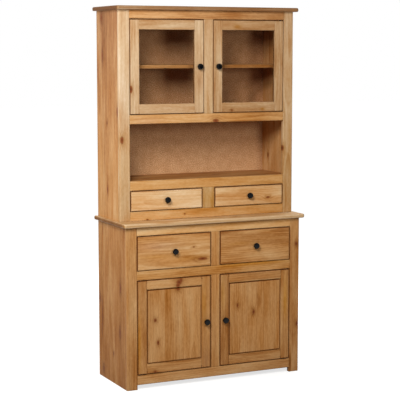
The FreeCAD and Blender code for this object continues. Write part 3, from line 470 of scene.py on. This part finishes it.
def oiled_pine(node, grain, face, boards, figure, shades, wood, edge, seed):
    """Planed pine, oiled and waxed: growth rings round a pith beside each board, so faces show flames
    and ends show arcs, with streaks and fine fibres along the grain, darker end grain, red-brown knots,
    edges rubbed paler, and painted shade on the edges along the gaps and on the top's rim."""
    # Numbers of the axes along the grain, across it and out of the face.
    g, f = LETTERS.index(grain), LETTERS.index(face)
    a = LETTERS.index((set(LETTERS) - {grain, face}).pop())
    ways = (g, a, f)
    knots = KNOTS.get(node, ())
    material, tree, shader = surface("oiled_pine." + node)
    axes = add(tree, "SeparateXYZ", {0: add(tree, "TexCoord", out="Object")}).node.outputs
    normals = add(tree, "SeparateXYZ", {0: add(tree, "TexCoord", out="Normal")}).node.outputs
    flat = add(tree, "CombineXYZ", {0: axes[a], 1: axes[g]})
    chance, luck, radius = sawn_boards(tree, node, ways, axes, boards, seed)
    noise = grain_patterns(tree, ways, axes, chance)

    # Rings run round the pith and swell round the knots.
    rings = add(tree, "Math", {0: noise["wander"], 1: RING_WANDER * MM, 2: radius},
                operation="MULTIPLY_ADD")
    if knots:
        reach, swell = near_knots(tree, knots, flat, noise["streak"])
        rings = add(tree, "Math", {0: swell, 1: KNOT_SWELL * MM, 2: rings}, operation="MULTIPLY_ADD")
    turns = add(tree, "Math", {0: rings, 1: 1 / (RING * MM)}, operation="MULTIPLY")
    year = add(tree, "Math", {0: turns}, operation="FRACT")
    late = add(tree, "ValToRGB", {0: year}, stops=LATEWOOD)
    drawn_rings = add(tree, "Math", {0: late, 1: noise["broad"]}, operation="MULTIPLY")

    # The ends of the grain drink more oil.
    facing_end = add(tree, "Math", {0: normals[g]}, operation="ABSOLUTE")
    end = add(tree, "MapRange", {"Value": facing_end, "From Min": END_TURN[0], "From Max": END_TURN[1]})

    # The figure's strength scales the rings and the wide patterns.
    patterns = [(drawn_rings, RING_TONE), (noise["broad"], BROAD_TONE), (noise["streak"], STREAK_TONE)]
    patterns = [(part, (weight * figure, mean)) for part, (weight, mean) in patterns]
    patterns += [(noise["fibre"], FIBRE_TONE), (noise["fleck"], FLECK_TONE), (luck[2], BOARD_TONE),
                 (end, END_TONE)]
    if knots:
        patterns.append((swell, KNOT_TONE))
    tone, rich = tone_of_wood(tree, node, ways, axes, flat, shades, patterns, noise["broad"])

    # Colour from the tone, then knots, rubbed edges and painted edge shade over it, gloss and relief.
    colour = add(tree, "ValToRGB", {0: tone}, stops=wood)
    hue = add(tree, "Math", {0: noise["broad"], 1: -HUE_SWING, 2: NEUTRAL_HUE + HUE_SWING / 2},
              operation="MULTIPLY_ADD")
    colour = add(tree, "HueSaturation", {"Hue": hue, "Saturation": rich, "Color": colour})
    if knots:
        knot = add(tree, "ValToRGB", {0: reach}, stops=KNOT_TONES)
        cover = add(tree, "MapRange", {"Value": reach, "From Min": KNOT_FADE[0],
                                       "From Max": KNOT_FADE[1], "To Max": KNOT_COVER})
        colour = add(tree, "Mix", {0: cover, 6: colour, 7: knot}, out=2, data_type="RGBA")
    edge_colour, edge_share, edge_width, which = edge
    wear_and_shade, rounded = edge_wear_and_shade(tree, node, ways, axes, normals, edge_width * MM, which)
    cover = add(tree, "Math", {0: wear_and_shade, 1: edge_share}, operation="MULTIPLY")
    colour = add(tree, "Mix", {0: cover, 6: colour, 7: linear(edge_colour)}, out=2, data_type="RGBA")
    tree.links.new(colour, shader.inputs["Base Color"])
    rough = add(tree, "MapRange", {"Value": noise["streak"], "From Min": NOISE_LOW,
                                   "From Max": NOISE_HIGH, "To Min": 0.44, "To Max": 0.56})
    tree.links.new(rough, shader.inputs["Roughness"])
    relief = add(tree, "Math", {0: late, 1: RING_RELIEF, 2: noise["fibre"]}, operation="MULTIPLY_ADD")
    bump = add(tree, "Bump", {"Strength": 0.25, "Distance": 0.25 * MM, "Height": relief,
                              "Normal": rounded})
    tree.links.new(bump, shader.inputs["Normal"])
    shader.inputs["IOR"].default_value = 1.47
    shader.inputs["Specular IOR Level"].default_value = 0.08
    return material


def brown_fibreboard(node):
    """Hardboard, pressed from wood fibre: a warm brown with a faint mottle and with pale and dark
    flecks a few millimetres long, nailed on from behind with panel pins, whose heads are drawn larger
    than real so that they show."""
    low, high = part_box(node)
    mottle_size, fleck_size = 40 * MM, 5 * MM
    mottle_weight, brightness = 0.17, 0.14
    material, tree, shader = surface("brown_fibreboard." + node)
    spot = add(tree, "TexCoord", out="Object")
    mottle = add(tree, "TexNoise", {"Vector": spot, "Scale": 1 / mottle_size, "Detail": 2.0})
    fleck = add(tree, "TexNoise", {"Vector": spot, "Scale": 1 / fleck_size, "Detail": 4.0,
                                   "Roughness": 0.7})
    mixed = add(tree, "Math", {0: mottle, 1: mottle_weight, 2: fleck}, operation="MULTIPLY_ADD")
    tone = add(tree, "Math", {0: mixed, 1: brightness}, operation="ADD")
    colour = add(tree, "ValToRGB", {0: tone}, stops=((0.5, "#835A37"), (0.68, "#B5875D"),
                                                     (0.76, "#C3956A"), (0.95, "#DDBD98")))
    # Pins stand in a row along each edge, on the rear face.
    axes = add(tree, "SeparateXYZ", {0: spot}).node.outputs
    off_row, off_pin = [], []
    for way in (0, 2):
        half = (high[way] - low[way]) / 2
        row = half - PIN_INSET * MM
        pace = 2 * row / round(2 * half / (PIN_PACE * MM))
        out = from_middle(tree, axes[way], low[way], high[way])
        off_row.append(add(tree, "Math", {0: out, 1: row}, operation="SUBTRACT"))
        off_pin.append(add(tree, "Math", {0: off_row[-1], 1: pace / 2}, operation="PINGPONG"))
    upright = add(tree, "CombineXYZ", {0: off_row[0], 1: off_pin[1]})
    level = add(tree, "CombineXYZ", {0: off_row[1], 1: off_pin[0]})
    off_upright = add(tree, "VectorMath", {0: upright}, out="Value", operation="LENGTH")
    off_level = add(tree, "VectorMath", {0: level}, out="Value", operation="LENGTH")
    nearest = add(tree, "Math", {0: off_upright, 1: off_level}, operation="MINIMUM")
    head = add(tree, "MapRange", {"Value": nearest, "From Min": PIN_HEAD * MM,
                                  "From Max": (PIN_HEAD - PIN_RIM) * MM})
    normals = add(tree, "SeparateXYZ", {0: add(tree, "TexCoord", out="Normal")}).node.outputs
    behind = add(tree, "Math", {0: normals[1], 1: 0.5}, operation="GREATER_THAN")
    cover = add(tree, "Math", {0: head, 1: behind}, operation="MULTIPLY")
    pinned = add(tree, "Mix", {0: cover, 6: colour, 7: linear("#57504A")}, out=2, data_type="RGBA")
    tree.links.new(pinned, shader.inputs["Base Color"])
    bump = add(tree, "Bump", {"Strength": 0.3, "Distance": 0.2 * MM, "Height": fleck})
    tree.links.new(bump, shader.inputs["Normal"])
    shader.inputs["Roughness"].default_value = 0.62
    shader.inputs["Specular IOR Level"].default_value = 0.2
    return material


def pale_plywood(name):
    """Poplar plywood, sanded and bare: pale cream with quiet streaks along the boards and soft darker
    clouds."""
    streak_width, streak_length, cloud_size = 7 * MM, 160 * MM, 120 * MM
    cloud_weight = 0.5
    material, tree, shader = surface(name)
    spot = add(tree, "TexCoord", out="Object")
    axes = add(tree, "SeparateXYZ", {0: spot}).node.outputs
    along = add(tree, "Math", {0: axes[0], 1: axes[1]}, operation="ADD")
    laid = add(tree, "CombineXYZ", {0: axes[2], 1: along})
    scale = (1 / streak_width, 1 / streak_length, 1)
    streaked = add(tree, "VectorMath", {0: laid, 1: scale}, operation="MULTIPLY")
    streak = add(tree, "TexNoise", {"Vector": streaked, "Scale": 1.0, "Detail": 4.0, "Roughness": 0.6})
    cloud = add(tree, "TexNoise", {"Vector": spot, "Scale": 1 / cloud_size, "Detail": 1.0})
    mixed = add(tree, "Math", {0: cloud, 1: cloud_weight, 2: streak}, operation="MULTIPLY_ADD")
    colour = add(tree, "ValToRGB", {0: mixed}, stops=((0.4, "#C9A877"), (0.75, "#DFC398"),
                                                      (1.0, "#EAD6B2")))
    tree.links.new(colour, shader.inputs["Base Color"])
    bump = add(tree, "Bump", {"Strength": 0.2, "Distance": 0.15 * MM, "Height": streak})
    tree.links.new(bump, shader.inputs["Normal"])
    shader.inputs["Roughness"].default_value = 0.6
    return material


def beech_pin(name):
    """Turned beech, bare: pinkish tan with short dark flecks, drawn a little wider than real so that
    they show."""
    fleck_width, fleck_length = 1.2 * MM, 6 * MM
    material, tree, shader = surface(name)
    spot = add(tree, "TexCoord", out="Object")
    scale = (1 / fleck_width, 1 / fleck_width, 1 / fleck_length)
    flecked = add(tree, "VectorMath", {0: spot, 1: scale}, operation="MULTIPLY")
    fleck = add(tree, "TexNoise", {"Vector": flecked, "Scale": 1.0, "Detail": 3.0})
    colour = add(tree, "ValToRGB", {0: fleck}, stops=((0.3, "#A87B52"), (0.5, "#CBA077"),
                                                      (1.0, "#DDBB96")))
    tree.links.new(colour, shader.inputs["Base Color"])
    shader.inputs["Roughness"].default_value = 0.55
    return material


def black_lacquer(name):
    """Turned wood under black satin lacquer: near black, with soft highlights and faint smears where
    hands touch it."""
    smear_size = 6 * MM
    material, tree, shader = surface(name)
    spot = add(tree, "TexCoord", out="Object")
    smear = add(tree, "TexNoise", {"Vector": spot, "Scale": 1 / smear_size, "Detail": 3.0})
    colour = add(tree, "ValToRGB", {0: smear}, stops=((0.3, "#050506"), (0.6, "#09090A"),
                                                      (0.8, "#101113")))
    tree.links.new(colour, shader.inputs["Base Color"])
    rough = add(tree, "MapRange", {"Value": smear, "From Min": NOISE_LOW, "From Max": NOISE_HIGH,
                                   "To Min": 0.2, "To Max": 0.32})
    tree.links.new(rough, shader.inputs["Roughness"])
    bump = add(tree, "Bump", {"Strength": 0.15, "Distance": 0.1 * MM, "Height": smear})
    tree.links.new(bump, shader.inputs["Normal"])
    shader.inputs["IOR"].default_value = 1.5
    shader.inputs["Specular IOR Level"].default_value = 0.15
    return material


def browned_steel(name):
    """Stamped steel, chemically browned and oiled: a dark warm metal with cloudy patches and dull
    highlights."""
    cloud_size = 3 * MM
    material, tree, shader = surface(name)
    spot = add(tree, "TexCoord", out="Object")
    cloud = add(tree, "TexNoise", {"Vector": spot, "Scale": 1 / cloud_size, "Detail": 3.0})
    colour = add(tree, "ValToRGB", {0: cloud}, stops=((0.3, "#4A3C31"), (0.7, "#6B5A4A")))
    tree.links.new(colour, shader.inputs["Base Color"])
    rough = add(tree, "MapRange", {"Value": cloud, "From Min": NOISE_LOW, "From Max": NOISE_HIGH,
                                   "To Min": 0.38, "To Max": 0.55})
    tree.links.new(rough, shader.inputs["Roughness"])
    shader.inputs["Metallic"].default_value = 1.0
    return material


def brown_plastic(name):
    """Moulded ABS in dark brown: a fine spark-eroded grain, drawn coarser than real so that it shows."""
    grit_size = 0.8 * MM
    material, tree, shader = surface(name)
    spot = add(tree, "TexCoord", out="Object")
    grit = add(tree, "TexNoise", {"Vector": spot, "Scale": 1 / grit_size, "Detail": 2.0})
    colour = add(tree, "ValToRGB", {0: grit}, stops=((0.3, "#3B281B"), (0.7, "#4A3324")))
    tree.links.new(colour, shader.inputs["Base Color"])
    bump = add(tree, "Bump", {"Strength": 0.3, "Distance": 0.1 * MM, "Height": grit})
    tree.links.new(bump, shader.inputs["Normal"])
    shader.inputs["Roughness"].default_value = 0.45
    shader.inputs["IOR"].default_value = 1.53
    return material


def window_glass(name):
    """Float glass, 4 mm: clear, with a faint warm cast painted into its colour for the light of the
    brown cupboard behind it. Lamps shine through it onto the shelves."""
    cast_size = 200 * MM
    material, tree, shader = surface(name)
    spot = add(tree, "TexCoord", out="Object")
    cast = add(tree, "TexNoise", {"Vector": spot, "Scale": 1 / cast_size, "Detail": 1.0})
    colour = add(tree, "ValToRGB", {0: cast}, stops=((0.3, "#FAF8F6"), (0.7, "#FDFCFB")))
    tree.links.new(colour, shader.inputs["Base Color"])
    shader.inputs["Roughness"].default_value = 0.0
    shader.inputs["IOR"].default_value = 1.5
    shader.inputs["Transmission Weight"].default_value = 1.0
    rays = add(tree, "LightPath").node.outputs
    open_way = add(tree, "BsdfTransparent", {"Color": linear("#EEEBE8")})
    scattered = add(tree, "MixShader", {0: rays["Is Diffuse Ray"], 1: shader.outputs[0], 2: open_way})
    lit = add(tree, "MixShader", {0: rays["Is Shadow Ray"], 1: scattered, 2: open_way})
    output = next(n for n in tree.nodes if n.type == "OUTPUT_MATERIAL")
    tree.links.new(lit, output.inputs["Surface"])
    return material


def seen_directly(tree):
    """1 where the camera sees the surface, straight, in a reflection or through glass."""
    path = add(tree, "LightPath").node.outputs
    seen = add(tree, "Math", {0: path["Is Camera Ray"], 1: path["Is Glossy Ray"]}, operation="MAXIMUM")
    seen = add(tree, "Math", {0: seen, 1: path["Is Transmission Ray"]}, operation="MAXIMUM")
    unscattered = add(tree, "Math", {0: path["Diffuse Depth"], 1: 0.5}, operation="LESS_THAN")
    return add(tree, "Math", {0: seen, 1: unscattered}, operation="MULTIPLY")


def white_paper(name):
    """Seamless studio paper, matt: it glows to white away from the object and keeps the shadow near
    it. Its tooth is drawn coarser than real so that it shows."""
    tooth_size = 2 * MM
    material, tree, shader = surface(name)
    spot = add(tree, "TexCoord", out="Object")
    tooth = add(tree, "TexNoise", {"Vector": spot, "Scale": 1 / tooth_size, "Detail": 2.0})
    colour = add(tree, "ValToRGB", {0: tooth}, stops=((0.0, "#B0B0AE"), (1.0, "#B8B8B6")))
    tree.links.new(colour, shader.inputs["Base Color"])
    shader.inputs["Roughness"].default_value = 0.9
    shader.inputs["Specular IOR Level"].default_value = 0.0
    shader.inputs["Emission Color"].default_value = linear("#FFFFFF")
    away = add(tree, "VectorMath", {0: spot}, out="Value", operation="LENGTH")
    whiter = add(tree, "MapRange", {"Value": away, "From Min": NEAR_REACH, "From Max": FAR_REACH,
                                    "To Min": NEAR_GLOW, "To Max": 1.0}, interpolation_type="SMOOTHSTEP")
    glow = add(tree, "Math", {0: whiter, 1: seen_directly(tree)}, operation="MULTIPLY")
    tree.links.new(glow, shader.inputs["Emission Strength"])
    return material


def black_felt(name):
    """Black wool felt, matt: it only takes light away from the panes."""
    material, _, shader = surface(name)
    shader.inputs["Base Color"].default_value = linear("#0C0C0C")
    shader.inputs["Roughness"].default_value = 1.0
    return material


def stage_sheet(name, corners, material):
    """A flat sheet of the studio, which isn't part of the object."""
    mesh = bpy.data.meshes.new(name)
    mesh.from_pydata(corners, [], [(0, 1, 2, 3)])
    mesh.materials.append(material)
    sheet = bpy.data.objects.new(name, mesh)
    scene.collection.objects.link(sheet)
    return sheet


def softbox(name, place, aim, size, power):
    """A square soft lamp at a place, turned to a point. Neither the camera nor a reflection shows its
    outline."""
    lamp = bpy.data.lights.new(name, "AREA")
    lamp.shape = "SQUARE"
    lamp.size = size
    lamp.energy = power
    made = bpy.data.objects.new(name, lamp)
    made.location = place
    made.rotation_euler = (Vector(aim) - Vector(place)).to_track_quat("-Z", "Y").to_euler()
    made.visible_camera = False
    made.visible_glossy = False
    made.visible_transmission = False
    scene.collection.objects.link(made)


# Endings of node names and the finish of each; pine nodes have their own boards.
plywood = pale_plywood("pale_plywood")
steel = browned_steel("browned_steel")
finishes = (("_box", plywood), ("_bottom", plywood), ("wooden_pins", beech_pin("beech_pin")),
            ("_knob", black_lacquer("black_lacquer")), ("door_pivots", steel), ("_fittings", steel),
            ("door_catches", brown_plastic("brown_plastic")), ("_pane", window_glass("window_glass")))
finish = {}
for seed, (node, row) in enumerate(sorted(PINE.items()), start=1):
    finish[node] = oiled_pine(node, *row, seed)
for node in ("hutch_back", "base_back"):
    finish[node] = brown_fibreboard(node)
for node, piece in nodes.items():
    for ending, material in finishes:
        if node.endswith(ending):
            finish[node] = material
    for slot in piece.material_slots:
        slot.material = finish[node]

world = bpy.data.worlds.new("white_studio")
scene.world = world
world.use_nodes = True
sky = world.node_tree
sky.nodes.clear()
backdrop = add(sky, "Background", {"Color": linear("#FFFFFF"), "Strength": 1.0})
lit_air = add(sky, "Background", {"Color": linear("#FFFFFF"), "Strength": STUDIO_LIGHT})
shown = add(sky, "MixShader", {0: seen_directly(sky), 1: lit_air, 2: backdrop})
sky.links.new(shown, sky.nodes.new("ShaderNodeOutputWorld").inputs["Surface"])

floor_corners = [(s * FLOOR_HALF, t * FLOOR_HALF, -FLOOR_DROP) for s, t in CORNERS]
stage_sheet("studio_floor", floor_corners, white_paper("white_paper"))
x, y, z = CARD_PLACE
wide, tall = CARD_HALF
card_corners = [(x + s * wide, y, z + t * tall) for s, t in CORNERS]
card = stage_sheet("dark_card", card_corners, black_felt("black_felt"))
card.visible_camera = False
card.visible_diffuse = False
card.visible_shadow = False
for name, row in LAMPS.items():
    softbox(name, *row)

camera = bpy.data.cameras.new("photo_camera")
camera.sensor_width = SENSOR
camera.lens = FOCUS_PIXELS / PICTURE_SIDE * SENSOR
camera.clip_end = FARTHEST
eye = bpy.data.objects.new("photo_camera", camera)
eye.location = CAMERA_PLACE
eye.rotation_euler = (math.radians(90 - CAMERA_DIP), 0, math.radians(CAMERA_TURN))
scene.collection.objects.link(eye)
scene.camera = eye
